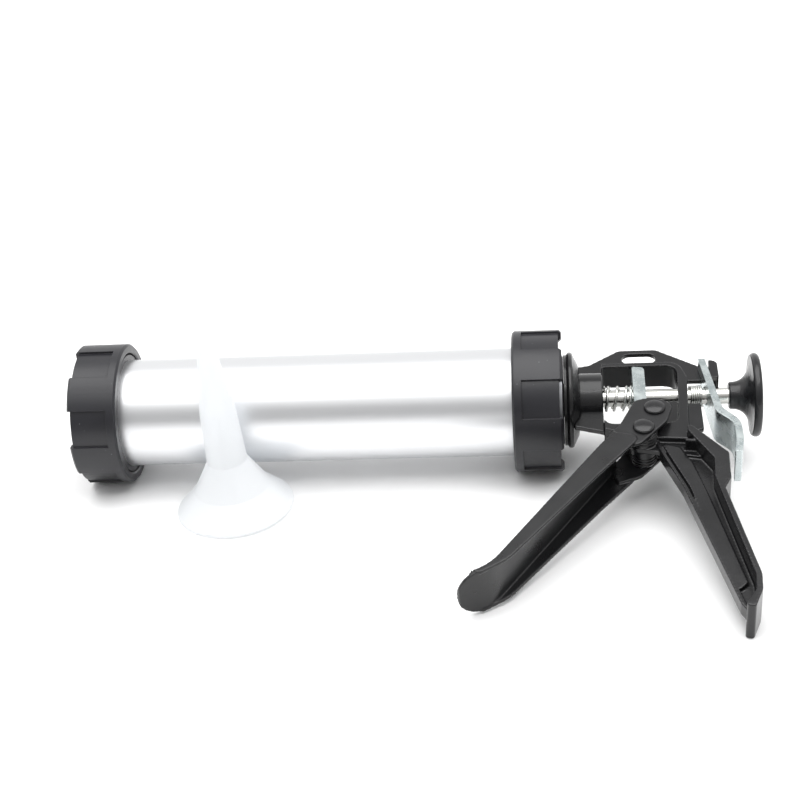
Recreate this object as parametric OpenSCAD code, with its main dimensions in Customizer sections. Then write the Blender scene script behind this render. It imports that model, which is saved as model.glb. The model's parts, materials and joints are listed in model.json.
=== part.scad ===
/* [Barrel] */
// Outside diameter of the aluminium tube
tube_d = 52; // [44:0.5:60]
// Wall thickness of the tube
tube_wall = 1.2; // [0.8:0.1:2.5]
// Length of the tube
tube_len = 216; // [150:1:400]
// Radial thickness of the threaded rings on the tube ends
ring_t = 3.2; // [2:0.1:5]
// Length of each threaded ring
ring_len = 10.5; // [8:0.1:12]

/* [Screw caps] */
// Length of a cap, from its open edge to the faces of its ribs
cap_len = 23.5; // [21:0.5:30]
// Wall of the cap outside its thread
cap_wall = 4.5; // [3.5:0.1:7]
// Thickness of the lip at the closed end
cap_lip_t = 3; // [2:0.1:5]
// Diameter of the opening in the lip
cap_hole_d = 44; // [30:0.5:46]
// Number of grip ribs
cap_ribs = 6; // [4:1:10]
// Share of the circle that the ribs take
rib_share = 0.48; // [0.3:0.01:0.6]
// Depth of the panels between the ribs
panel_depth = 1.2; // [0.5:0.1:2]
// How far the ribs stand out from the closed end
rib_proud = 1.5; // [0.5:0.1:3]
// Width of the plain band at the open edge
cap_band = 4.5; // [3:0.1:8]

/* [Barrel swivel] */
// Diameter of the frame's spigot that the barrel turns on
spigot_d = 16; // [14:0.5:20]
// Thickness of the end disc's flange
disc_t = 2.5; // [2:0.1:4]
// Thickness of the washer behind the rear cap
collar_washer_t = 1.4; // [1:0.1:2.5]
// Thickness of the thrust washer
thrust_t = 1; // [0.6:0.1:2]
// Thickness of the retaining ring
clip_t = 1.1; // [0.8:0.1:2]

/* [Push rod] */
// Diameter of the push rod
rod_d = 8; // [6:0.5:10]
// Diameter of the knob's disc
knob_d = 40; // [28:1:44]
// Diameter of the knob's neck
knob_neck_d = 13; // [11.5:0.5:18]
// Length of the knob
knob_len = 15.5; // [12:0.5:24]
// Free travel between the tail hook and the knob, rod fully forward
knob_gap = 4; // [3.5:0.1:10]

/* [Piston] */
// Length of the plastic piston
piston_len = 12; // [10:0.5:20]
// Thickness of the steel plate behind the piston
backing_t = 2; // [1:0.1:4]
// Width of the nuts across their flats
nut_af = 13; // [12:0.5:16]
// Thickness of the nuts
nut_t = 6.4; // [5:0.1:8]
// Thickness of the seal's cord
seal_cord = 2.6; // [2:0.1:4]

/* [Frame] */
// Diameter of the collar that faces the barrel
collar_d = 46; // [40:0.5:52]
// Thickness of the collar
collar_t = 3.2; // [2:0.1:5]
// Diameter of the boss that guides the rod
boss_d = 25; // [18:0.5:30]
// Length of the boss behind the collar's shoulder
boss_len = 11.5; // [8:0.5:20]
// Thickness of the frame's web
web_t = 2.4; // [2:0.1:4]
// How far the web's middle lies to the near side of the rod's axis
web_off = 1.3; // [0:0.1:2]
// Width of the rim round the window
rim_w = 13.4; // [12:0.1:15]
// How far the rim's middle lies to the far side of the rod's axis
rim_off = 1.4; // [0:0.1:1.5]
// Length of the window along the rod
window_len = 36.4; // [36:0.1:44]
// Height of the window above the rod's axis
window_up = 18.5; // [15:0.1:22]
// Depth of the window below the rod's axis
window_down = 25.2; // [25:0.1:30]
// Thickness of the bar behind the window
bar_t = 4.2; // [3:0.1:6]
// Height of the frame's back above the rod's axis
back_up = 35; // [32:0.5:42]
// Length of the hanging slot
slot_len = 16.4; // [10:0.1:20]
// Width of the hanging slot
slot_w = 8; // [5:0.1:8.5]

/* [Grip] */
// Reach of the grip below the rod's axis
grip_len = 149; // [125:1:180]
// Lean of the grip, rearward travel for each unit of length
grip_slope = 0.225; // [0.1:0.005:0.3]
// Width of the grip from front to back
grip_depth = 17.3; // [15:0.1:20]
// Narrowing of the grip for each unit of length
grip_taper = 0.04; // [0:0.005:0.06]
// Width of the palm flange
palm_w = 19.5; // [16:0.5:22]
// Thickness of the palm flange
palm_t = 2.6; // [2:0.1:4]
// Thickness of the grip's raised panel
panel_t = 6.6; // [5:0.1:10]

/* [Trigger] */
// Outside width of the trigger channel
trigger_w = 24; // [22:0.5:30]
// Thickness of the trigger's sheet steel
sheet_t = 1.6; // [1.2:0.1:2.5]
// Reach of the trigger below its pivot
trigger_len = 95.2; // [80:0.1:100]
// Diameter of the pivot rivet
pivot_d = 6; // [5:0.1:7]
// Diameter of the drive rivet
drive_pin_d = 6; // [5:0.1:7]
// Diameter of the rivet heads
rivet_head_d = 10; // [8.5:0.1:12]

/* [Drive and release] */
// Thickness of the drive plate
drive_t = 5.8; // [4:0.1:7]
// Width of the drive plate
drive_w = 17.6; // [14:0.1:18]
// Wire of the drive spring
drive_wire = 1.4; // [1:0.1:1.8]
// Turns of the drive spring
drive_turns = 4; // [3.5:0.1:6]
// Thickness of the release plate
release_t = 3.2; // [2:0.1:3.4]
// Width of the release plate
release_w = 18; // [14:0.5:22]
// Wire of the release spring
release_wire = 1; // [0.8:0.1:1.2]

/* [Nozzle] */
// Diameter of the nozzle's rim
nozzle_rim_d = 56; // [50:0.5:58]
// Thickness of the nozzle's rim
nozzle_rim_t = 1.2; // [1:0.1:2.2]
// Height of the seat that rises at 45 degrees from the rim
nozzle_seat_h = 10; // [8:0.5:12]
// Height of the nozzle
nozzle_len = 99; // [70:1:130]
// Outside diameter of the nozzle's tip
nozzle_tip_d = 4.6; // [4:0.1:9]
// Wall of the nozzle
nozzle_wall = 1.2; // [0.8:0.1:1.6]
// Lean of the standing nozzle, in degrees
nozzle_lean = 2.5; // [0:0.5:6]

/* [Hidden] */
$fn = 96;

// Clearances
glide = 0.05;          // radial, a pin or the rod in its hole
slip = 0.3;            // between a loose piece and what it passes
face_gap = 0.1;        // between flat faces that turn against each other

// The gun's own frame: X along the rod towards the knob, Z up, the grip towards -Z.
// X = 0 is the front face of the frame's collar.
tube_r = tube_d / 2;
bore_r = tube_r - tube_wall;
rod_r = rod_d / 2;
thread_r = tube_r + ring_t;
cap_bore_r = thread_r + slip;
cap_r = cap_bore_r + cap_wall;

rear_cap_x = -(collar_washer_t + 0.6);
rear_lip_x = rear_cap_x - rib_proud - cap_lip_t;
tube_rear_x = rear_lip_x - disc_t;
tube_front_x = tube_rear_x - tube_len;
seat_depth = nozzle_rim_t + (nozzle_rim_d - cap_hole_d) / 2 + slip;
front_cap_x = tube_front_x - seat_depth - cap_lip_t - rib_proud;

shoulder_x = collar_t + 2.3;
window_x = shoulder_x + boss_len;
window_end_x = window_x + window_len;
bar_x = window_end_x + bar_t;

// Trigger pivot and drive rivet
pivot_x = window_x + 17.6;
pivot_z = -window_down - 10.2;
drive_arm_x = 5.7;
drive_arm_z = 13.8;
drive_pin_x = pivot_x + drive_arm_x;
drive_pin_z = pivot_z + drive_arm_z;
drive_face_x = drive_pin_x - drive_pin_d / 2 - face_gap;
ear_out = trigger_w / 2 - 1;
ear_in = ear_out - sheet_t;
spacer_t = 0.5;
pivot_boss_hw = ear_in - spacer_t - 2 * face_gap;
pivot_boss_r = 5.8;
parting_z = pivot_z - pivot_boss_r - 2.8;
slot_edge = 3.05;

// Release plate, leaning back against the tail hook
release_tilt = 7.5;
neck_top = 20;
neck_bottom = 9.2;
hook_x = bar_x + 10.7;
hook_t = 4.2;
hook_low = rod_r + 1.5;
tail_x = hook_x + hook_t;
release_foot_x = hook_x - release_t / cos(release_tilt) - face_gap + hook_low * tan(release_tilt);

knob_x = tail_x + knob_gap;
piston_x = tube_front_x + 3;

// The gun lies on its side, on both caps and the foot of its grip
palm_hw = palm_w / 2;
roll = asin(cap_r / norm([grip_len, palm_hw])) - atan(palm_hw / grip_len);
x_middle = (front_cap_x + knob_x + knob_len) / 2;
y_high = max(cap_r, back_up * cos(roll) + (web_t / 2 - web_off) * sin(roll));
y_middle = (y_high - grip_len * cos(roll) - palm_hw * sin(roll)) / 2;

module lay() {
    translate([-x_middle, -y_middle, cap_r]) rotate([roll - 90, 0, 0]) children();
}

// Unit vector
function unit(v) = v / norm(v);

// Points of the arc that rounds corner p, between neighbours a and b
function corner(a, p, b, r, steps) =
    let (u = unit(a - p), v = unit(b - p), half = acos(u * v) / 2)
    let (s = p + u * r / tan(half), e = p + v * r / tan(half))
    let (c = p + unit(u + v) * r / sin(half))
    let (a0 = atan2(s[1] - c[1], s[0] - c[0]), a1 = atan2(e[1] - c[1], e[0] - c[0]))
    let (turn = a1 - a0 > 180 ? a1 - a0 - 360 : a1 - a0 < -180 ? a1 - a0 + 360 : a1 - a0)
    [for (i = [0:steps]) c + r * [cos(a0 + turn * i / steps), sin(a0 + turn * i / steps)]];

// Outline from corners [x, z, radius]; radius 0 keeps the corner sharp
function rounded(q, steps = 6) = let (n = len(q))
    [for (i = [0:n - 1])
        let (p = [q[i][0], q[i][1]], r = q[i][2])
        let (a = [q[(i + n - 1) % n][0], q[(i + n - 1) % n][1]])
        let (b = [q[(i + 1) % n][0], q[(i + 1) % n][1]])
        each (r == 0 ? [p] : corner(a, p, b, r, steps))];

// Plate of thickness t, centred on the gun's middle plane, with an outline in X and Z
module side_plate(t, outline) {
    rotate([90, 0, 0]) linear_extrude(t, center = true) polygon(outline);
}

// Solid of revolution about the rod's axis; profile points are [x, radius]
module turned(profile) {
    rotate([0, 90, 0]) rotate_extrude() polygon([for (p = profile) [p[1], p[0]]]);
}

// Ring about the rod's axis
module ring_x(x0, x1, r_in, r_out) {
    turned([[x0, r_in], [x0, r_out], [x1, r_out], [x1, r_in]]);
}

// Cylinder across the gun, at x and z
module cross_pin(x, z, r, half) {
    translate([x, 0, z]) rotate([90, 0, 0]) cylinder(r = r, h = 2 * half, center = true, $fn = 64);
}

// ---- Barrel ----

module barrel() {
    color("silver") lay() ring_x(tube_front_x, tube_rear_x, bore_r, tube_r);
}

module thread_ring(x0) {
    c = 1;
    color([0.05, 0.05, 0.06]) lay() turned([[x0, tube_r], [x0, thread_r - c], [x0 + c, thread_r],
        [x0 + ring_len - c, thread_r], [x0 + ring_len, thread_r - c], [x0 + ring_len, tube_r]]);
}

module front_thread_ring() {
    thread_ring(tube_front_x + slip);
}

module rear_thread_ring() {
    thread_ring(tube_rear_x - slip - ring_len);
}

// Screw cap with its open edge at X = 0 and its lip towards +X
module screw_cap() {
    face = cap_len - rib_proud;
    hole_r = cap_hole_d / 2;
    edge = 1;
    panel_a = 360 / cap_ribs * (1 - rib_share);
    color([0.07, 0.07, 0.08]) difference() {
        turned([[0, cap_bore_r + 0.6], [0, cap_r - edge], [edge, cap_r], [cap_len - edge, cap_r],
            [cap_len, cap_r - edge], [cap_len, cap_r - cap_wall + 1], [face, cap_r - cap_wall - 0.5],
            [face, hole_r], [face - cap_lip_t, hole_r], [face - cap_lip_t, cap_bore_r],
            [0.6, cap_bore_r]]);
        for (i = [0:cap_ribs - 1])
            rotate([360 / cap_ribs * (i + 0.5) - panel_a / 2, 0, 0])
                panel_cut(panel_a, face);
    }
}

// Recess between two ribs: outside wall back to the plain band, and the rib's crest on the face
module panel_cut(angle, face) {
    rotate([0, 90, 0]) {
        translate([0, 0, cap_band]) rotate([0, 0, 180]) rotate_extrude(angle = angle)
            translate([cap_r - panel_depth, 0]) square([panel_depth + 1, cap_len]);
        translate([0, 0, face]) rotate([0, 0, 180]) rotate_extrude(angle = angle)
            translate([cap_bore_r - 1.5, 0]) square([cap_wall + 3, rib_proud + 1]);
    }
}

module front_cap() {
    lay() translate([front_cap_x + cap_len, 0, 0]) rotate([0, 0, 180]) rotate([55, 0, 0]) screw_cap();
}

module rear_cap() {
    lay() translate([rear_cap_x - cap_len, 0, 0]) rotate([50.5, 0, 0]) screw_cap();
}

// ---- Swivel between barrel and frame ----

module end_disc() {
    bore = spigot_d / 2 + glide;
    boss_r = cap_hole_d / 2 - slip;
    back = -collar_washer_t - face_gap;
    color([0.45, 0.46, 0.48]) lay() turned([[tube_rear_x, bore], [tube_rear_x, cap_bore_r - slip],
        [rear_lip_x, cap_bore_r - slip], [rear_lip_x, boss_r], [back - 0.8, boss_r],
        [back, boss_r - 0.8], [back, bore]]);
}

module collar_washer() {
    color([0.1, 0.1, 0.1]) lay()
        ring_x(-collar_washer_t, 0, spigot_d / 2 + glide, collar_d / 2 - 1.2);
}

thrust_x = tube_rear_x - face_gap - thrust_t;
clip_x = thrust_x - face_gap - clip_t;

module thrust_washer() {
    color([0.75, 0.76, 0.78]) lay()
        ring_x(thrust_x, thrust_x + thrust_t, spigot_d / 2 + glide, spigot_d / 2 + 5);
}

module retaining_ring() {
    mean_r = spigot_d / 2 + 0.9;
    color([0.25, 0.25, 0.27]) lay() difference() {
        ring_x(clip_x, clip_x + clip_t, spigot_d / 2 - 0.6, mean_r + 1.4);
        translate([clip_x - 1, -2.5, 0]) cube([clip_t + 2, 5, mean_r + 6]);
        for (s = [-1, 1])
            translate([clip_x - 1, s * 4.2, mean_r - 0.6]) rotate([0, 90, 0])
                cylinder(d = 1.6, h = clip_t + 2, $fn = 24);
    }
}

// ---- Frame and grip ----

// Front edge of the grip at height z, and its palm side
function grip_front(z) = pivot_x + 8.5 + grip_slope * (pivot_z - z);
function grip_back(z) = grip_front(z) + grip_depth - grip_taper * (pivot_z - z);

horn_top = pivot_z - 17.5;
horn_low = pivot_z - 36;
horn_x = grip_back(horn_low) + 4.6;
heel_z = 19 - grip_len;
foot_x = grip_back(heel_z) - 6.7;
throat = [pivot_x + 7, pivot_z - 7.4];
bend_z = pivot_z - 32.6;
chin_z = 8 - grip_len;
chin_x = grip_front(chin_z) + 1.6;

module frame_web() {
    front_low = -window_down + 2.2;
    translate([0, -web_off, 0]) side_plate(web_t, rounded([[collar_t, collar_d / 2 - 0.5, 0],
        [shoulder_x + 5.2, collar_d / 2 + 0.5, 3], [window_x + 8.8, back_up, 4], [window_x + 27, back_up, 4],
        [hook_x - 3.5, neck_top, 4], [hook_x + 1, neck_top, 0], [hook_x + 1, neck_bottom, 0],
        [bar_x - 0.5, neck_bottom, 0], [bar_x - 1.5, -8, 0], [bar_x + 5.3, -8, 1.2],
        [bar_x + 5.3, pivot_z + 8.5, 1.2], [bar_x, pivot_z + 6, 0], [bar_x + 2, pivot_z - 12, 0],
        [pivot_x + 6, pivot_z - 7.6, 2], [pivot_x - 4, pivot_z - 5.4, 2],
        [window_x + 3, -window_down - 3.3, 2], [collar_t, front_low, 0]]));
}

// Web behind the drive rivet, below the rod
module window_fill() {
    fill_x = drive_pin_x + drive_pin_d / 2 + 2.4;
    top = -rod_r - 2;
    translate([0, -web_off, 0]) side_plate(web_t, rounded([[fill_x, -window_down - 1, 0], [fill_x, top, 3],
        [window_end_x + 1, top, 0], [window_end_x + 1, -window_down - 1, 0]]));
}

module window_cut() {
    side_plate(2 * palm_w, rounded([[window_x, -window_down, 5], [window_x, window_up, 2],
        [window_end_x, window_up, 6], [window_end_x - 2, -window_down, 5]]));
}

// Rim round the window: above, behind and below it
module window_rim() {
    rim = 2.6;
    low = window_down + 3.4;
    translate([0, rim_off, 0]) side_plate(rim_w, rounded([[window_x, -low, 0], [window_x, window_up + rim, 0],
        [window_end_x + rim - 2, window_up + rim, 7], [bar_x, neck_bottom, 2],
        [bar_x - 2.2, pivot_z - 2, 0], [pivot_x, pivot_z, 0]]));
}

module grip_body() {
    web = 2.4;
    rim = 1.8;
    groove = 0.9;
    top = pivot_z - 4;
    // middle web with the grip's whole outline
    side_plate(web, rounded([[pivot_x + 3, top, 0], [bar_x - 2, pivot_z + 5, 0],
        [horn_x - 1, horn_top - 1, 0], [horn_x - 1, horn_low, 0], [grip_back(horn_low) - 1, horn_low - 5, 0],
        [grip_back(heel_z) - 1, heel_z, 4], [foot_x + 1, -grip_len + 1, 1],
        [chin_x, chin_z, 4], [grip_front(bend_z), bend_z, 12], [throat[0], throat[1], 2]]));
    // front rim
    side_plate(panel_t, rounded([[throat[0] - 2.4, top + 4, 0], [throat[0], throat[1], 2],
        [grip_front(bend_z), bend_z, 12], [chin_x, chin_z, 4], [foot_x + 1, -grip_len + 1, 0],
        [foot_x + 2.2, -grip_len + 4, 0], [chin_x + rim + 0.4, chin_z, 2],
        [grip_front(bend_z) + rim, bend_z, 12], [throat[0] + rim, throat[1], 2],
        [throat[0] - 2.4 + rim, top + 4, 0]]));
    // raised panel
    side_plate(panel_t, rounded([[throat[0] + rim + groove - 2, top + 1.5, 1],
        [pivot_x + 16, top - 1.5, 1], [pivot_x + 21, horn_top + 1.5, 1],
        [grip_back(horn_low) - palm_t - 4, horn_low, 2],
        [grip_back(heel_z) - palm_t - 2.6, heel_z + 1, 1.6],
        [grip_front(heel_z - 4) + rim + groove, heel_z - 4, 1.4],
        [grip_front(bend_z) + rim + groove, bend_z, 12],
        [throat[0] + rim + groove, throat[1], 2]]));
}

// Wide palm flange, from the rear bar over the horn and down to the foot
module palm_flange() {
    t = palm_t;
    side_plate(palm_w, rounded([[bar_x - 3, pivot_z + 2.5, 0], [bar_x - 1, pivot_z + 2.5, 0],
        [horn_x, horn_top, 1.5], [horn_x - 0.6, horn_low + 1.5, 1.5],
        [grip_back(horn_low - 5), horn_low - 5, 1.5],
        [grip_back(heel_z), heel_z, 8], [grip_back(heel_z) - 0.6, heel_z - 9, 8],
        [foot_x + 2.2, -grip_len, 1.4], [foot_x - 2, 0.8 - grip_len, 1.4],
        [grip_back(heel_z) - t - 0.6, heel_z - 9, 6], [grip_back(heel_z) - t, heel_z, 6],
        [grip_back(horn_low - 5) - t, horn_low - 5, 2],
        [grip_back(horn_low) - 3, horn_low + 3, 2], [grip_back(horn_low) - 2.2, horn_top - 3.5, 2],
        [bar_x - 3, pivot_z - 1.2, 0]]));
}

// Ridge under the pocket behind the pivot
module pocket_ridge() {
    side_plate(palm_w - 2, rounded([[bar_x - 4.6, pivot_z - 5.6, 0], [bar_x + 1, pivot_z - 6.4, 1],
        [grip_back(horn_low) - 1, horn_top - 1.5, 0], [grip_back(horn_low) - 1, horn_top - 4, 0],
        [bar_x + 1, pivot_z - 8, 1], [bar_x - 4.6, pivot_z - 7.2, 0]]));
}

module tail_hook() {
    side_plate(14, rounded([[hook_x, hook_low, 0.8], [tail_x, hook_low, 1.5],
        [tail_x, neck_top - 2, 2.5], [hook_x, neck_top, 0.8]]));
}

// Spigot for the barrel, collar and boss for the rod, turned as one piece
module spigot_solid() {
    spigot_r = spigot_d / 2;
    collar_r = collar_d / 2;
    boss_r = boss_d / 2;
    groove_r = spigot_r - 0.6 - glide;
    turned([[clip_x - 2.2, 0], [clip_x - 2.2, spigot_r - 0.8], [clip_x - 1.4, spigot_r],
        [clip_x - glide, spigot_r], [clip_x - glide, groove_r],
        [clip_x + clip_t + glide, groove_r], [clip_x + clip_t + glide, spigot_r],
        [0, spigot_r], [0, collar_r - 1.2], [0.5, collar_r - 0.3], [1.2, collar_r],
        [collar_t - 1.2, collar_r], [collar_t - 0.4, collar_r - 0.4],
        [collar_t, collar_r - 1.4], [shoulder_x, boss_r + 4.5], [shoulder_x + 0.8, boss_r],
        [window_x - 0.6, boss_r], [window_x, boss_r - 0.6], [window_x, 0]]);
}

module rod_bore() {
    translate([clip_x - 5, 0, 0]) rotate([0, 90, 0])
        cylinder(r = rod_r + glide, h = bar_x - clip_x + 8, $fn = 64);
}

module spigot_boss() {
    color([0.06, 0.06, 0.065]) lay() difference() {
        spigot_solid();
        rod_bore();
    }
}

// The casting that carries the spigot: window, tail and grip
module casting() {
    difference() {
        union() {
            difference() {
                union() {
                    frame_web();
                    window_rim();
                    grip_body();
                }
                window_cut();
            }
            window_fill();
            palm_flange();
            pocket_ridge();
            tail_hook();
            cross_pin(pivot_x, pivot_z, pivot_boss_r, pivot_boss_hw);
        }
        spigot_solid();
        rod_bore();
        cross_pin(pivot_x, pivot_z, pivot_d / 2, palm_w);
        hang_slot();
    }
}

// The casting is held in two nodes, which meet in a plane just under the pivot boss
module handle_frame() {
    color([0.06, 0.06, 0.065]) lay() intersection() {
        casting();
        translate([-50, -50, parting_z]) cube([200, 100, 200]);
    }
}

module grip() {
    color([0.06, 0.06, 0.065]) lay() intersection() {
        casting();
        translate([-50, -50, parting_z - 250]) cube([250, 100, 250]);
    }
}

module hang_slot() {
    mid_x = window_x + 18.5;
    mid_z = back_up - slot_edge - slot_w / 2;
    reach = (slot_len - slot_w) / 2;
    for (s = [-1, 1]) cross_pin(mid_x + s * reach, mid_z, slot_w / 2, palm_hw);
    translate([mid_x - reach, -palm_hw, mid_z - slot_w / 2]) cube([2 * reach, palm_w, slot_w]);
}

// ---- Rod and piston ----

nut_pocket = nut_t + 1;
rod_front_x = piston_x + 0.8;

module push_rod() {
    back = knob_x + knob_len - 4;
    color([0.8, 0.8, 0.78]) lay() turned([[rod_front_x, 0], [rod_front_x, rod_r - 0.8],
        [rod_front_x + 0.8, rod_r], [back, rod_r], [back, 0]]);
}

// Trumpet knob: a neck that flares in an arc to a thick domed disc
module rod_knob() {
    neck = knob_neck_d / 2;
    disc = knob_d / 2;
    rim = 4;
    flare = knob_len - rim - 1.2;
    steps = 10;
    bore_end = knob_len - 4;
    color([0.05, 0.05, 0.055]) lay() translate([knob_x, 0, 0]) turned(concat(
        [[0, rod_r], [0, neck - 0.6], [0.6, neck]],
        [for (i = [1:steps]) let (a = 90 * i / steps)
            [0.6 + (flare - 0.6) * sin(a), neck + (disc - 0.8 - neck) * pow(1 - cos(a), 1.25)]],
        [for (i = [0:steps]) let (a = 180 * i / steps)
            [flare + rim / 2 - rim / 2 * cos(a), disc - 1.6 + 1.6 * sin(a)]],
        [[knob_len - 0.3, disc * 0.55], [knob_len, 0], [bore_end, 0], [bore_end, rod_r]]));
}

module piston() {
    r = bore_r - slip;
    pocket_r = nut_af / 2 + 4;
    groove = piston_x + piston_len / 2;
    half = seal_cord / 2;
    color([0.08, 0.08, 0.09]) lay() turned([[piston_x, pocket_r], [piston_x, r - 2.5], [piston_x + 1.5, r],
        [groove - half, r], [groove - half, bore_r - glide - seal_cord],
        [groove + half, bore_r - glide - seal_cord], [groove + half, r],
        [piston_x + piston_len, r], [piston_x + piston_len, rod_r + glide],
        [piston_x + nut_pocket, rod_r + glide], [piston_x + nut_pocket, pocket_r]]);
}

module piston_seal() {
    half = seal_cord / 2;
    mid_r = bore_r - glide - half;
    color([0.02, 0.02, 0.02]) lay() translate([piston_x + piston_len / 2, 0, 0]) rotate([0, 90, 0])
        rotate_extrude() translate([mid_r, 0]) circle(r = half, $fn = 24);
}

module piston_backing() {
    x0 = piston_x + piston_len;
    color([0.7, 0.71, 0.72]) lay() ring_x(x0, x0 + backing_t, rod_r + glide, bore_r - 4.5);
}

module piston_nuts() {
    color([0.75, 0.75, 0.74]) lay()
        for (x = [piston_x + nut_pocket - nut_t, piston_x + piston_len + backing_t])
            translate([x, 0, 0]) rotate([0, 90, 0]) difference() {
                cylinder(r = nut_af / 2 / cos(30), h = nut_t, $fn = 6);
                translate([0, 0, -1]) cylinder(r = rod_r, h = nut_t + 2, $fn = 64);
            }
}

// ---- Drive ----

drive_x = drive_face_x - drive_t;
drive_low = drive_pin_z - 2.9;

module drive_plate() {
    top = 13.4;
    mid = (top + drive_low) / 2;
    color([0.82, 0.84, 0.82]) lay() difference() {
        side_plate(drive_w, rounded([[drive_x, drive_low, 0.6], [drive_x, top, 1],
            [drive_face_x, top - 0.8, 2.2], [drive_face_x, drive_low, 0.6]], 5));
        translate([drive_x - 1, 0, 0]) rotate([0, 90, 0])
            cylinder(r = rod_r + 2 * glide, h = drive_t + 2, $fn = 64);
    }
}

// Points round a helix's wire section, one ring for each step along it
function helix_ring(r, wire, x, a, sides) =
    [for (k = [0:sides - 1]) let (b = 360 * k / sides, q = r + wire / 2 * cos(b))
        [x + wire / 2 * sin(b), q * cos(a), q * sin(a)]];

// Compression spring about the rod's axis, from x0 to x1, with closed end turns
module coil_spring(x0, x1, r, wire, turns) {
    sides = 8;
    per_turn = 20;
    steps = round(turns * per_turn);
    free = x1 - x0 - 3 * wire;
    closed = per_turn;
    function along(i) = i < closed ? wire * i / closed
        : i > steps - closed ? wire + free + wire * (i - steps + closed) / closed
        : wire + free * (i - closed) / (steps - 2 * closed);
    points = [for (i = [0:steps])
        each helix_ring(r, wire, x0 + wire / 2 + along(i), 360 * i / per_turn, sides)];
    sides_faces = [for (i = [0:steps - 1], k = [0:sides - 1]) let (n = (k + 1) % sides)
        [i * sides + k, i * sides + n, (i + 1) * sides + n, (i + 1) * sides + k]];
    ends = [[for (k = [sides - 1:-1:0]) k], [for (k = [0:sides - 1]) steps * sides + k]];
    polyhedron(points, concat(sides_faces, ends));
}

module drive_spring() {
    color([0.85, 0.85, 0.83]) lay()
        coil_spring(window_x + face_gap, drive_x - face_gap, rod_r + 1.8, drive_wire, drive_turns);
}

// ---- Release ----

module release_spring() {
    color([0.85, 0.85, 0.83]) lay()
        coil_spring(bar_x + face_gap, release_foot_x - 1, rod_r + 0.9, release_wire, 5);
}

// Front edge line of the release plate at height z
function release_line(z) = release_foot_x - z * tan(release_tilt);

module release_plate() {
    t = release_t / cos(release_tilt);
    top = neck_top - 2.2;
    bend = -21;
    pad_x = release_line(bend) + 7.6;
    pad_low = -51.5;
    color([0.78, 0.82, 0.82]) lay() difference() {
        side_plate(release_w, rounded([[release_line(top), top, 0.4], [release_line(top) + t, top, 0.4],
            [release_line(bend) + t, bend + 1, 6], [pad_x + t, bend - 9, 12], [pad_x + t, -43, 10],
            [pad_x + t - 1.6, pad_low, 0.4], [pad_x - 1.6, pad_low, 0.4], [pad_x, -43, 8],
            [pad_x, bend - 10, 9], [release_line(bend), bend - 1.5, 8]], 8));
        translate([release_foot_x - 8, 0, 0]) rotate([0, 90, 0])
            cylinder(r = rod_r + 2 * slip, h = 20, $fn = 64);
        translate([release_line(top) - 8, -web_off - web_t / 2 - slip, neck_bottom - 2 * slip])
            cube([20, web_t + 2 * slip, 20]);
    }
}

// ---- Trigger ----

module ear_outline(s) {
    x = pivot_x;
    z = pivot_z;
    head = 8.2;
    translate([0, s * (ear_in + ear_out) / 2, 0])
        side_plate(sheet_t, rounded([[x - 17, z - 6, 0], [x - 10.6, z + 3, 4],
            [drive_pin_x - head - 0.6, drive_pin_z + head - 1.5, 5], [drive_pin_x + 1, drive_pin_z + head, 5],
            [drive_pin_x + head + 0.5, drive_pin_z + 3, 5], [drive_pin_x + head - 2.8, drive_pin_z - 9, 5],
            [x - 1.6, z - 11, 4], [x - 12, z - 15, 0]]));
}

// Corners of the trigger's front face and of its lips, from the top down
tip_z = pivot_z - trigger_len;
front_run = [[pivot_x - 14, pivot_z - 3, 0], [pivot_x - 22, pivot_z - 15, 12],
    [pivot_x - 70.4, tip_z + 4.6, 24], [pivot_x - 83.5, tip_z, 0]];

module channel_wall(s) {
    y = s * (trigger_w - sheet_t) / 2;
    tip = front_run[3];
    translate([0, y, 0]) side_plate(sheet_t, rounded([[pivot_x - 14, pivot_z - 4, 1],
        front_run[1], front_run[2], [tip[0] + 8, tip[1] + 3.1, 0],
        [tip[0] + 10, tip[1] + 1, 2], [pivot_x - 61, tip_z + 9.6, 25], [pivot_x - 20, pivot_z - 31, 30],
        [pivot_x - 5.6, pivot_z - 12.8, 8], [pivot_x - 2, pivot_z - 7, 3], [pivot_x - 8, pivot_z - 5, 3]], 8));
}

// Face plate between the walls, rounded in plan at the tip
module channel_face() {
    tip = front_run[3];
    r = trigger_w / 2;
    back = [for (i = [3:-1:0]) [front_run[i][0] + 1.4, front_run[i][1] - (i == 3 ? 1.5 : i == 0 ? 0.8 : 1.1),
        front_run[i][2] == 0 ? 0 : front_run[i][2] - 1.5]];
    intersection() {
        side_plate(trigger_w, rounded(concat(front_run, back), 10));
        translate([tip[0], 0, tip[1] - 6]) union() {
            translate([r, 0, 0]) cylinder(r = r, h = trigger_len + 20, $fn = 96);
            translate([r, -r, 0]) cube([140, 2 * r, trigger_len + 20]);
        }
    }
}

module trigger() {
    color([0.05, 0.05, 0.055]) lay() difference() {
        union() {
            for (s = [-1, 1]) {
                ear_outline(s);
                channel_wall(s);
            }
            channel_face();
        }
        cross_pin(pivot_x, pivot_z, pivot_d / 2 + glide, trigger_w);
        cross_pin(drive_pin_x, drive_pin_z, drive_pin_d / 2, trigger_w);
    }
}

// Rivet across the gun with two domed heads; gap is the play under each head
module rivet(x, z, r, gap) {
    head_r = rivet_head_d / 2;
    rise = 2.2;
    steps = 8;
    under = ear_out + gap;
    dome = [for (i = [0:steps]) let (a = 90 * i / steps)
        [head_r * cos(a), under + 0.6 + (rise - 0.6) * sin(a)]];
    half = concat([[r, under], [head_r, under]], dome);
    mirrored = [for (i = [len(half) - 1:-1:0]) [half[i][0], -half[i][1]]];
    translate([x, 0, z]) rotate([90, 0, 0]) rotate_extrude($fn = 64)
        polygon(concat(mirrored, half));
}

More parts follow.
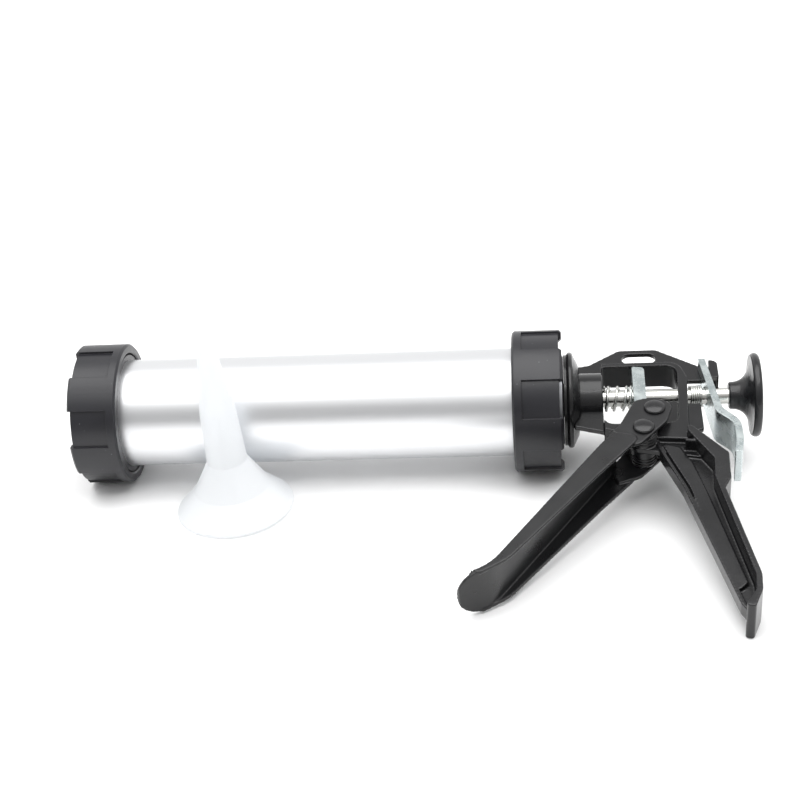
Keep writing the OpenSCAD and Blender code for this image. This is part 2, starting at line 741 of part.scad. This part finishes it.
module drive_rivet() {
    color([0.05, 0.05, 0.055]) lay() rivet(drive_pin_x, drive_pin_z, drive_pin_d / 2, 0);
}

module pivot_rivet() {
    color([0.05, 0.05, 0.055]) lay() rivet(pivot_x, pivot_z, pivot_d / 2, face_gap);
}

module pivot_spacers() {
    color([0.5, 0.5, 0.5]) lay() for (s = [-1, 1])
        translate([pivot_x, s * (pivot_boss_hw + spacer_t / 2), pivot_z]) rotate([90, 0, 0]) difference() {
            cylinder(r = pivot_boss_r - 0.4, h = spacer_t, center = true, $fn = 64);
            cylinder(r = pivot_d / 2 + glide, h = 4, center = true, $fn = 64);
        }
}

// ---- Nozzle ----

nozzle_x = tube_front_x + 65;
nozzle_y = -(tube_r + 9.8);

module nozzle() {
    rim_r = nozzle_rim_d / 2;
    t = nozzle_wall;
    neck_h = 26;
    knee_h = 53;
    // outside profile: rim, seat, cone, then two tapers up to the tip
    outer = [[rim_r, 0], [rim_r, nozzle_rim_t], [rim_r - nozzle_seat_h, nozzle_rim_t + nozzle_seat_h],
        [9.6, neck_h], [8.5, knee_h], [nozzle_tip_d / 2, nozzle_len]];
    inner = [[nozzle_tip_d / 2 - t * 0.75, nozzle_len], [8.5 - t, knee_h], [9.6 - t, neck_h - t],
        [rim_r - nozzle_seat_h - t, nozzle_rim_t + nozzle_seat_h - t * 0.6], [rim_r - 1.6 * t, 0]];
    color([0.95, 0.96, 0.97, 0.8]) translate([nozzle_x - x_middle, nozzle_y - y_middle, 0])
        translate([0, 0, rim_r * sin(nozzle_lean)]) rotate([0, -nozzle_lean, 0])
            rotate_extrude() polygon(concat(outer, inner));
}

barrel();
front_thread_ring();
rear_thread_ring();
front_cap();
rear_cap();
end_disc();
collar_washer();
thrust_washer();
retaining_ring();
spigot_boss();
handle_frame();
grip();
push_rod();
rod_knob();
piston();
piston_seal();
piston_backing();
piston_nuts();
drive_plate();
drive_spring();
release_plate();
release_spring();
trigger();
drive_rivet();
pivot_rivet();
pivot_spacers();
nozzle();
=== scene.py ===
import json
import math

import bmesh
import bpy
from mathutils import Matrix, Vector


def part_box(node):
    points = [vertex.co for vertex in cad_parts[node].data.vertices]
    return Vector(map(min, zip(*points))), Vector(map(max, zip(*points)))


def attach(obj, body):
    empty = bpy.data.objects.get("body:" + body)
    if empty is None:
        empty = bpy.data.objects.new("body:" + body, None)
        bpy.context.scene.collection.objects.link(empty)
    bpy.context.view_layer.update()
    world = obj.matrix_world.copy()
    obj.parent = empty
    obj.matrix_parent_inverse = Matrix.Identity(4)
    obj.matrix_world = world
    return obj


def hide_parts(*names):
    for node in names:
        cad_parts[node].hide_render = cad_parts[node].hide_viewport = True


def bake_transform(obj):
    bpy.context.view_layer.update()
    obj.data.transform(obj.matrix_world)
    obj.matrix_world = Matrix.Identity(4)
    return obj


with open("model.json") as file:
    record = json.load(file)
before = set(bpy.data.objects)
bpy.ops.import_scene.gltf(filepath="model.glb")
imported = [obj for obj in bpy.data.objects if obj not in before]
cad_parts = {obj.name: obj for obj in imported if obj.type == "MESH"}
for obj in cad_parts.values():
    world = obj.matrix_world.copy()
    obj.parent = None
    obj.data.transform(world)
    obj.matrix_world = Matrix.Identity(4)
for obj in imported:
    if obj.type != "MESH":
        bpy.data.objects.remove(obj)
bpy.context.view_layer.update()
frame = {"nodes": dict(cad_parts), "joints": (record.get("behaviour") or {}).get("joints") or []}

# ---- The gun's own directions ----
# The gun lies rolled a little on its side, on its two caps and the foot of its grip.
# The swivel joint's axis is the push rod's line, and the trigger's pivot runs across the gun.
joints = {j["name"]: j for j in frame["joints"]}
collar_face_x, rod_y, rod_z = joints["barrel_swivel"]["pos_m"]
along = Vector((1, 0, 0))
near_side = Vector(joints["trigger_squeeze"]["axis"]).normalized()
gun_up = near_side.cross(along)
lay = Matrix((along, -near_side, gun_up)).transposed().to_4x4()
lay.translation = Vector((collar_face_x, rod_y, rod_z))
pivot = lay.inverted() @ Vector(joints["trigger_squeeze"]["pos_m"])
MM = 0.001

# ---- Camera ----
# A long lens a little to the right of the gun and well above it, held slightly off level.
aim_forward, aim_above, distance = 80.61 * MM, 2.74 * MM, 801.06 * MM
sensor_width, focal_length = 36, 74.27
aim = Vector((collar_face_x - aim_forward, rod_y, rod_z + aim_above))
yaw, rise, bank = math.radians(6.546), math.radians(28.661), math.radians(-4.823)
back = Vector((math.cos(rise) * math.sin(yaw), -math.cos(rise) * math.cos(yaw), math.sin(rise)))
right = (-back).cross(Vector((0, 0, 1))).normalized()
up = right.cross(-back)
view_right = right * math.cos(bank) + up * math.sin(bank)
view_up = up * math.cos(bank) - right * math.sin(bank)
turn = Matrix((view_right, view_up, back)).transposed().to_4x4()
turn.translation = aim + back * distance
camera = bpy.data.objects.new("camera", bpy.data.cameras.new("camera"))
camera.data.sensor_width = sensor_width
camera.data.lens = focal_length
camera.data.clip_start, camera.data.clip_end = 0.01, 20
camera.matrix_world = turn
bpy.context.scene.collection.objects.link(camera)
bpy.context.scene.camera = camera
bpy.context.scene.view_settings.view_transform = "Standard"


# ---- Light tent and floor ----
# The gun stands on seamless white board in a white tent, which darkens towards the room behind the camera.
# A wide softbox hangs overhead, and a narrow strip light in front draws thin lines on round pieces.
def add_node(tree, kind, inputs=(), **settings):
    node = tree.nodes.new(kind)
    for key, value in settings.items():
        setattr(node, key, value)
    for key, value in dict(inputs).items():
        if isinstance(value, bpy.types.NodeSocket):
            tree.links.new(value, node.inputs[key])
        else:
            node.inputs[key].default_value = value
    return node


def ramp(tree, value, stops):
    node = add_node(tree, "ShaderNodeValToRGB", {0: value})
    while len(node.color_ramp.elements) < len(stops):
        node.color_ramp.elements.new(0.5)
    for element, (place, shade) in zip(node.color_ramp.elements, stops):
        element.position = place
        element.color = (*shade, 1) if isinstance(shade, tuple) else (shade, shade, shade, 1)
    return node.outputs["Color"]


def softbox(name, place, width, length, watts):
    """A rectangular light aimed at the middle of the gun."""
    light = bpy.data.objects.new(name, bpy.data.lights.new(name, "AREA"))
    light.data.shape = "RECTANGLE"
    light.data.size, light.data.size_y = width, length
    light.data.energy = watts
    light.location = place
    light.rotation_euler = (Vector((0, rod_y, 0)) - Vector(place)).to_track_quat("-Z", "Y").to_euler()
    bpy.context.scene.collection.objects.link(light)


tent = bpy.data.worlds.new("tent")
tent.use_nodes = True
sky = tent.node_tree
sky.nodes.clear()
direction = add_node(sky, "ShaderNodeTexCoord").outputs["Generated"]
parts = add_node(sky, "ShaderNodeSeparateXYZ", {0: direction})
height = add_node(sky, "ShaderNodeMath", {0: parts.outputs["Z"], 1: 0.85}, operation="MULTIPLY")
lift = add_node(sky, "ShaderNodeMath", {0: parts.outputs["Y"], 1: 0.5, 2: height.outputs[0]},
                operation="MULTIPLY_ADD")
share = add_node(sky, "ShaderNodeMapRange", {0: lift.outputs[0], 1: -1.0, 2: 1.0})
tent_shades = [(0.0, 0.30), (0.42, 0.36), (0.52, 0.55), (0.62, 0.88), (0.78, 1.0), (0.92, 1.0),
               (0.985, 0.72), (1.0, 0.72)]
shade = ramp(sky, share.outputs[0], tent_shades)
glow = add_node(sky, "ShaderNodeBackground", {"Color": shade, "Strength": 1.0})
add_node(sky, "ShaderNodeOutputWorld", {"Surface": glow.outputs[0]})
bpy.context.scene.world = tent

softbox("overhead", (0.0, rod_y + 0.05, 1.15), width=1.7, length=0.9, watts=13.5)
softbox("strip", (0.1, rod_y - 0.45, 0.95), width=1.3, length=0.06, watts=2.6)

floor_mesh = bpy.data.meshes.new("floor")
floor_shape = bmesh.new()
bmesh.ops.create_grid(floor_shape, x_segments=2, y_segments=2, size=6)
floor_shape.to_mesh(floor_mesh)
floor_shape.free()
floor = bpy.data.objects.new("floor", floor_mesh)
bpy.context.scene.collection.objects.link(floor)
board = bpy.data.materials.new("white_board")
board.use_nodes = True
board_tree = board.node_tree
board_face = board_tree.nodes["Principled BSDF"]
board_face.inputs["Base Color"].default_value = (0.93, 0.93, 0.93, 1)
board_face.inputs["Roughness"].default_value = 0.6
board_face.inputs["Specular IOR Level"].default_value = 0.2
floor.data.materials.append(board)


# ---- Barrel ----
# A drawn aluminium tube, satin anodised clear. The screw rings are pressed on its ends.
# Extrusion leaves faint lines along it, and handling leaves a few short scratches.
def new_finish(name):
    material = bpy.data.materials.new(name)
    material.use_nodes = True
    tree = material.node_tree
    face = tree.nodes["Principled BSDF"]
    place = add_node(tree, "ShaderNodeTexCoord").outputs["Object"]
    return material, tree, face, place


def stretched(tree, place, x, y, z):
    return add_node(tree, "ShaderNodeMapping", {"Vector": place, "Scale": (x, y, z)}).outputs[0]


def mottle(tree, place, scale, detail=3.0, rough=0.55):
    return add_node(tree, "ShaderNodeTexNoise", {"Vector": place, "Scale": scale, "Detail": detail,
                                                 "Roughness": rough}).outputs["Fac"]


def between(tree, value, low, high, from_low=0.3, from_high=0.7):
    return add_node(tree, "ShaderNodeMapRange", {0: value, 1: from_low, 2: from_high, 3: low,
                                                 4: high}).outputs[0]


def worn_edge(tree, radius):
    """1 on edges sharper than the radius and 0 on open faces."""
    bent = add_node(tree, "ShaderNodeBevel", {"Radius": radius}, samples=4).outputs[0]
    flat = add_node(tree, "ShaderNodeNewGeometry").outputs["Normal"]
    same = add_node(tree, "ShaderNodeVectorMath", {0: bent, 1: flat}, operation="DOT_PRODUCT")
    return between(tree, same.outputs["Value"], 1.0, 0.0, 0.80, 0.995)


def specks(tree, place, scale, size):
    """Small round spots, 1 inside a spot."""
    cells = add_node(tree, "ShaderNodeTexVoronoi", {"Vector": place, "Scale": scale, "Randomness": 1.0})
    return between(tree, cells.outputs["Distance"], 1.0, 0.0, size * 0.6, size)


def relief(tree, height, depth, normal=None):
    node = add_node(tree, "ShaderNodeBump", {"Height": height, "Distance": depth, "Strength": 1.0})
    if normal is not None:
        tree.links.new(normal, node.inputs["Normal"])
    return node.outputs[0]


def eased(tree, radius):
    return add_node(tree, "ShaderNodeBevel", {"Radius": radius}, samples=6).outputs[0]


def tinted(tree, value, dark, light):
    return add_node(tree, "ShaderNodeMix", {"Factor": value, "A": (*dark, 1), "B": (*light, 1)},
                    data_type="RGBA").outputs["Result"]


def coat(node_name, material):
    node = frame["nodes"][node_name]
    node.data.materials.clear()
    node.data.materials.append(material)


def anodised_tube():
    material, tree, face, place = new_finish("anodised_aluminium")
    face.inputs["Metallic"].default_value = 1.0
    lines = mottle(tree, stretched(tree, place, 6, 900, 900), 1.0, 2.0)
    cloud = mottle(tree, stretched(tree, place, 20, 60, 60), 1.0, 4.0)
    colour = tinted(tree, cloud, (0.80, 0.81, 0.825), (0.84, 0.845, 0.855))
    tree.links.new(colour, face.inputs["Base Color"])
    scratch = add_node(tree, "ShaderNodeTexVoronoi",
                       {"Vector": stretched(tree, place, 60, 700, 700), "Scale": 1.0}, feature="F1")
    scuff = between(tree, scratch.outputs["Distance"], 0.06, 0.0, 0.0, 0.06)
    matt = add_node(tree, "ShaderNodeMath", {0: between(tree, lines, 0.35, 0.38), 1: scuff},
                    operation="ADD").outputs[0]
    tree.links.new(matt, face.inputs["Roughness"])
    tree.links.new(relief(tree, lines, 0.000001), face.inputs["Normal"])
    return material


coat("barrel", anodised_tube())


# ---- Screw rings ----
# Black plastic rings on the tube's ends, with a coarse rounded thread that the caps screw on to.
def join_rows(rows, name, close_rows=True):
    """Mesh from rows of points, each a closed loop. The last row joins the first, or both are capped."""
    count = len(rows[0])
    points = [p for row in rows for p in row]
    faces = []
    for i in range(len(rows) if close_rows else len(rows) - 1):
        n = (i + 1) % len(rows)
        for k in range(count):
            m = (k + 1) % count
            faces.append((i * count + k, i * count + m, n * count + m, n * count + k))
    if not close_rows:
        faces.append(tuple(range(count - 1, -1, -1)))
        faces.append(tuple((len(rows) - 1) * count + k for k in range(count)))
    mesh = bpy.data.meshes.new(name)
    mesh.from_pydata([tuple(p) for p in points], [], faces)
    shape = bmesh.new()
    shape.from_mesh(mesh)
    bmesh.ops.recalc_face_normals(shape, faces=shape.faces)
    shape.to_mesh(mesh)
    shape.free()
    mesh.polygons.foreach_set("use_smooth", [True] * len(mesh.polygons))
    mesh.set_sharp_from_angle(angle=math.radians(40))
    piece = bpy.data.objects.new(name, mesh)
    bpy.context.scene.collection.objects.link(piece)
    return piece


def around_rod(x, radius, angle):
    return Vector((x, rod_y + radius * math.sin(angle), rod_z + radius * math.cos(angle)))


THREAD_PITCH = 3.0 * MM
THREAD_DEPTH = 1.1 * MM
THREAD_RUN_OUT = 1.2 * MM
RING_END_CUT = 0.5 * MM


def threaded_ring(name, node, inner_r):
    low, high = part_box(node)
    outer_r = (high.z - low.z) / 2
    length = high.x - low.x
    points_round, stations = 144, 72
    rows = []
    for i in range(points_round):
        angle = 2 * math.pi * i / points_round
        row = []
        for k in range(stations + 1):
            x = length * k / stations
            lead = (x / THREAD_PITCH + angle / (2 * math.pi)) % 1
            groove = 0.5 - 0.5 * math.cos(2 * math.pi * lead)
            full = max(0.0, min(1, x / THREAD_RUN_OUT, (length - x) / THREAD_RUN_OUT))
            cut = THREAD_DEPTH * min(1, groove * 1.5) * full + RING_END_CUT * (1 - full)
            row.append(around_rod(low.x + x, outer_r - cut, angle))
        row.append(around_rod(high.x, inner_r, angle))
        row.append(around_rod(low.x, inner_r, angle))
        rows.append(row)
    ring = join_rows(rows, name)
    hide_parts(node)
    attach(ring, "barrel")
    return ring


def moulded_plastic(name, shade, matt, dust):
    material, tree, face, place = new_finish(name)
    grain = mottle(tree, place, 2600, 2.0)
    patch = mottle(tree, place, 45, 4.0)
    dusty = specks(tree, place, 230, dust)
    base = tinted(tree, patch, shade, tuple(c * 1.3 for c in shade))
    colour = add_node(tree, "ShaderNodeMix", {"Factor": dusty, "A": base, "B": (0.17, 0.17, 0.18, 1)},
                      data_type="RGBA").outputs["Result"]
    tree.links.new(colour, face.inputs["Base Color"])
    tree.links.new(between(tree, patch, matt - 0.05, matt + 0.06), face.inputs["Roughness"])
    tree.links.new(relief(tree, grain, 0.00003, eased(tree, 0.45 * MM)), face.inputs["Normal"])
    return material


cap_plastic = moulded_plastic("cap_plastic", (0.010, 0.010, 0.013), 0.36, 0.055)
tube_low, tube_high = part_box("barrel")
tube_r = (tube_high.z - tube_low.z) / 2
for name, node in (("front_thread", "front_thread_ring"), ("rear_thread", "rear_thread_ring")):
    threaded_ring(name, node, tube_r - 0.02 * MM).data.materials.append(cap_plastic)

# ---- Screw caps ----
# Moulded black caps with six grip ribs, screwed on the rings by a shallow thread inside. The front one
# holds a nozzle in use, and the rear one the steel disc.
for node in ("front_cap", "rear_cap"):
    coat(node, cap_plastic)


def cap_thread(name, body, x0, x1, bore_r):
    """A low helical ridge inside a cap's bore."""
    per_turn, fade_points = 72, 8
    height, half, root = 0.24 * MM, 0.9 * MM, 0.05 * MM
    steps = int((x1 - x0) / THREAD_PITCH * per_turn)
    rows = []
    for i in range(steps + 1):
        angle = -2 * math.pi * i / per_turn
        x = x0 + THREAD_PITCH * i / per_turn
        crest = bore_r - height * min(1, i / fade_points, (steps - i) / fade_points)
        profile = ((-half, bore_r + root), (-half * 0.4, crest), (half * 0.4, crest), (half, bore_r + root))
        rows.append([around_rod(x + shift, radius, angle) for shift, radius in profile])
    ridge = join_rows(rows, name, close_rows=False)
    ridge.data.materials.append(cap_plastic)
    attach(ridge, body)


ring_low, ring_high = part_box("front_thread_ring")
ring_r = (ring_high.z - ring_low.z) / 2
front_low, front_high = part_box("front_cap")
rear_low, rear_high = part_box("rear_cap")
lip_end, mouth, thread_gap = 8 * MM, 2 * MM, 0.3 * MM
cap_thread("front_cap_thread_ridge", "front_cap", front_low.x + lip_end, front_high.x - mouth,
           ring_r + thread_gap)
cap_thread("rear_cap_thread_ridge", "barrel", rear_low.x + mouth, rear_high.x - lip_end,
           ring_r + thread_gap)


# ---- Swivel ----
# A plated steel disc closes the barrel; the frame's spigot turns in it behind washers and a spring ring.
def plated_steel(name, light, dark, matt, lines=(1, 1, 1), blotch=120, edge=0.25 * MM):
    """Zinc or nickel plate over steel: pale, a little cloudy, with drawing or rolling lines."""
    material, tree, face, place = new_finish(name)
    face.inputs["Metallic"].default_value = 1.0
    cloud = mottle(tree, place, blotch, 5.0, 0.6)
    drawn = mottle(tree, stretched(tree, place, *lines), 1.0, 2.0)
    tree.links.new(tinted(tree, between(tree, cloud, 0, 1), dark, light), face.inputs["Base Color"])
    tree.links.new(between(tree, cloud, matt - 0.06, matt + 0.08), face.inputs["Roughness"])
    tree.links.new(relief(tree, drawn, 0.000012, eased(tree, edge)), face.inputs["Normal"])
    return material


disc_steel = plated_steel("disc_steel", (0.5, 0.51, 0.53), (0.38, 0.39, 0.41), 0.34, (300, 300, 300))
washer_steel = plated_steel("washer_steel", (0.68, 0.69, 0.70), (0.58, 0.59, 0.60), 0.3, (400, 400, 400))
spring_ring_steel = plated_steel("spring_ring_steel", (0.16, 0.16, 0.18), (0.10, 0.10, 0.12), 0.35)
coat("end_disc", disc_steel)
coat("thrust_washer", washer_steel)
coat("retaining_ring", spring_ring_steel)


# ---- Frame and grip ----
# One zinc casting in gloss black enamel: web, window, rear bar and tail hook above, a rimmed grip below.
# Its two halves are joined and its corners eased. The enamel has a faint orange peel, rubbed on its edges.
def black_enamel(name, matt, peel, chips):
    material, tree, face, place = new_finish(name)
    wave = mottle(tree, place, 420, 2.0)
    fine = mottle(tree, place, 2400, 2.0)
    patch = mottle(tree, place, 60, 4.0)
    worn = worn_edge(tree, 0.5 * MM)
    spots = specks(tree, place, 160, chips)
    chip = add_node(tree, "ShaderNodeMath", {0: worn, 1: spots}, operation="MULTIPLY").outputs[0]
    base = tinted(tree, patch, (0.006, 0.006, 0.0065), (0.010, 0.010, 0.011))
    rubbed = add_node(tree, "ShaderNodeMix",
                      {"Factor": between(tree, worn, 0, 0.35, 0, 1), "A": base, "B": (0.05, 0.05, 0.052, 1)},
                      data_type="RGBA").outputs["Result"]
    colour = add_node(tree, "ShaderNodeMix", {"Factor": chip, "A": rubbed, "B": (0.45, 0.45, 0.46, 1)},
                      data_type="RGBA").outputs["Result"]
    tree.links.new(colour, face.inputs["Base Color"])
    tree.links.new(between(tree, patch, matt - 0.05, matt + 0.07), face.inputs["Roughness"])
    height = add_node(tree, "ShaderNodeMath", {0: fine, 1: 0.12, 2: wave},
                      operation="MULTIPLY_ADD").outputs[0]
    tree.links.new(relief(tree, height, peel, eased(tree, 0.5 * MM)), face.inputs["Normal"])
    return material


def soften(piece, voxel, passes):
    """Rounds a piece's corners like a casting's or a pressing's, with its own mesh kept."""
    weld = piece.modifiers.new("weld", "WELD")
    weld.merge_threshold = 0.002 * MM
    cast = piece.modifiers.new("cast", "REMESH")
    cast.mode = "VOXEL"
    cast.voxel_size = voxel
    cast.use_smooth_shade = True
    ease = piece.modifiers.new("ease", "SMOOTH")
    ease.factor = 0.5
    ease.iterations = passes


casting_enamel = black_enamel("casting_enamel", 0.22, 0.00005, 0.0)
casting_shape = bmesh.new()
for node in ("handle_frame", "grip"):
    casting_shape.from_mesh(frame["nodes"][node].data)
casting_mesh = bpy.data.meshes.new("frame_casting")
casting_shape.to_mesh(casting_mesh)
casting_shape.free()
casting_mesh.materials.clear()
casting_mesh.materials.append(casting_enamel)
for face in casting_mesh.polygons:
    face.material_index = 0
casting = bpy.data.objects.new("frame_casting", casting_mesh)
bpy.context.scene.collection.objects.link(casting)
soften(casting, voxel=0.33 * MM, passes=4)
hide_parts("handle_frame", "grip")
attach(casting, "frame")
coat("spigot_boss", casting_enamel)
coat("collar_washer", casting_enamel)


def ring_band(name, centre, axis, radius, wire, body, material):
    """A round bead round an axis."""
    axis = Vector(axis).normalized()
    side = axis.orthogonal().normalized()
    other = axis.cross(side)
    points_round, sides = 96, 12
    rows = []
    for i in range(points_round):
        a = 2 * math.pi * i / points_round
        out = side * math.cos(a) + other * math.sin(a)
        rows.append([centre + out * (radius + wire * math.cos(b)) + axis * wire * math.sin(b)
                     for b in (2 * math.pi * k / sides for k in range(sides))])
    bead = join_rows(rows, name)
    bead.data.materials.append(material)
    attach(bead, body)


bead_r, bead_wire = 5.8 * MM, 0.4 * MM
for i, out in enumerate((-7.6, -6.0, -4.4, 4.4, 6.0, 7.6)):
    ring_band(f"pivot_boss_bead_{i + 1}", lay @ Vector((pivot.x, out * MM, pivot.z)), near_side, bead_r,
              bead_wire, "frame", casting_enamel)

# ---- Rivets and pivot washers ----
# Domed steel rivets, enamelled with the trigger, through both ears; oiled washers space the ears.
pressing_enamel = black_enamel("pressing_enamel", 0.30, 0.00004, 0.10)
rivet_enamel = black_enamel("rivet_enamel", 0.2, 0.00003, 0.0)
coat("drive_rivet", rivet_enamel)
coat("pivot_rivet", rivet_enamel)
coat("pivot_spacers", washer_steel)

# ---- Trigger ----
# A channel pressed from 1.6 mm steel sheet, closed towards the barrel and open to the hand.
coat("trigger", pressing_enamel)
soften(frame["nodes"]["trigger"], voxel=0.36 * MM, passes=4)


# ---- Push rod and knob ----
# An 8 mm zinc plated steel rod, bright drawn, with fine bite marks from the drive plate,
# and a moulded black knob pressed on its end.
def drawn_rod():
    material, tree, face, place = new_finish("drawn_rod")
    face.inputs["Metallic"].default_value = 1.0
    cloud = mottle(tree, stretched(tree, place, 40, 200, 200), 1.0, 4.0)
    lines = mottle(tree, stretched(tree, place, 15, 3000, 3000), 1.0, 2.0)
    bites = mottle(tree, stretched(tree, place, 1400, 60, 60), 1.0, 2.0)
    tree.links.new(tinted(tree, cloud, (0.66, 0.66, 0.63), (0.80, 0.80, 0.77)), face.inputs["Base Color"])
    tree.links.new(between(tree, bites, 0.09, 0.18), face.inputs["Roughness"])
    height = add_node(tree, "ShaderNodeMath", {0: bites, 1: 0.5, 2: lines},
                      operation="MULTIPLY_ADD").outputs[0]
    tree.links.new(relief(tree, height, 0.000006), face.inputs["Normal"])
    return material


coat("push_rod", drawn_rod())
coat("rod_knob", moulded_plastic("knob_plastic", (0.008, 0.008, 0.009), 0.26, 0.0))

# ---- Piston ----
# A plastic piston with a rubber ring, clamped between two nuts and a plated backing plate.
coat("piston", moulded_plastic("piston_plastic", (0.02, 0.02, 0.022), 0.5, 0.0))
coat("piston_seal", moulded_plastic("seal_rubber", (0.012, 0.012, 0.012), 0.62, 0.0))
coat("piston_backing", washer_steel)
coat("piston_nuts", plated_steel("nut_steel", (0.72, 0.72, 0.68), (0.6, 0.6, 0.57), 0.28, (500, 500, 500)))

# ---- Drive and release plates ----
# Blanked from steel plate and bright zinc plated, with a cold tint: a thick drive plate, and a thinner
# release plate bent back to a thumb pad.
zinc_plate = plated_steel("bright_zinc", (0.68, 0.735, 0.73), (0.47, 0.53, 0.54), 0.27,
                          lines=(500, 40, 500), blotch=160, edge=0.4 * MM)
coat("drive_plate", zinc_plate)
coat("release_plate", zinc_plate)


# ---- Springs ----
# Zinc plated wire on the rod: the drive spring pushes the drive plate back, the release spring
# holds the release plate against the tail hook. Both have closed end turns.
def wire_coil(name, node, x0, x1, wire, turns):
    low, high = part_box(node)
    mean_r = (high.z - low.z) / 2 - wire / 2
    per_turn, sides, closed_turns = 40, 12, 0.9
    steps = int(turns * per_turn)
    closed = int(per_turn * closed_turns)
    free = x1 - x0 - 3 * wire
    rows = []
    for i in range(steps + 1):
        if i < closed:
            x = wire * i / closed
        elif i > steps - closed:
            x = wire + free + wire * (i - steps + closed) / closed
        else:
            x = wire + free * (i - closed) / (steps - 2 * closed)
        angle = 2 * math.pi * i / per_turn
        rows.append([around_rod(x0 + wire / 2 + x + wire / 2 * math.sin(b),
                                mean_r + wire / 2 * math.cos(b), angle)
                     for b in (2 * math.pi * k / sides for k in range(sides))])
    spring = join_rows(rows, name, close_rows=False)
    spring.data.materials.append(spring_wire)
    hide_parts(node)
    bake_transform(spring)


spring_wire = plated_steel("spring_wire", (0.84, 0.84, 0.82), (0.70, 0.70, 0.67), 0.2, (800, 800, 800))
low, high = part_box("drive_spring")
wire_coil("drive_coil", "drive_spring", low.x, high.x, 1.4 * MM, 4.1)
low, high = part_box("release_spring")
wire_coil("release_coil", "release_spring", low.x, high.x, 1.0 * MM, 5.6)


# ---- Nozzle ----
# Natural polyethylene, moulded thin: milky, translucent and slightly glossy. It stands on its rim beside
# the barrel, ready to be clamped in the front cap.
def milky_polyethylene():
    material, tree, face, place = new_finish("milky_polyethylene")
    milk_share, clear_share = 0.55, 0.22
    patch = mottle(tree, place, 50, 3.0)
    tree.links.new(tinted(tree, patch, (0.93, 0.94, 0.95), (0.97, 0.975, 0.98)), face.inputs["Base Color"])
    face.inputs["Roughness"].default_value = 0.30
    face.inputs["IOR"].default_value = 1.5
    skin = relief(tree, mottle(tree, place, 300, 3.0), 0.00002, eased(tree, 0.3 * MM))
    tree.links.new(skin, face.inputs["Normal"])
    through = add_node(tree, "ShaderNodeBsdfTranslucent", {"Color": (0.97, 0.98, 0.99, 1), "Normal": skin})
    milk = add_node(tree, "ShaderNodeMixShader", {0: milk_share, 1: face.outputs[0],
                                                    2: through.outputs[0]})
    clear = add_node(tree, "ShaderNodeBsdfTransparent", {"Color": (0.99, 0.995, 1.0, 1)})
    wall = add_node(tree, "ShaderNodeMixShader", {0: clear_share, 1: milk.outputs[0],
                                                    2: clear.outputs[0]})
    tree.links.new(wall.outputs[0], tree.nodes["Material Output"].inputs["Surface"])
    return material


coat("nozzle", milky_polyethylene())
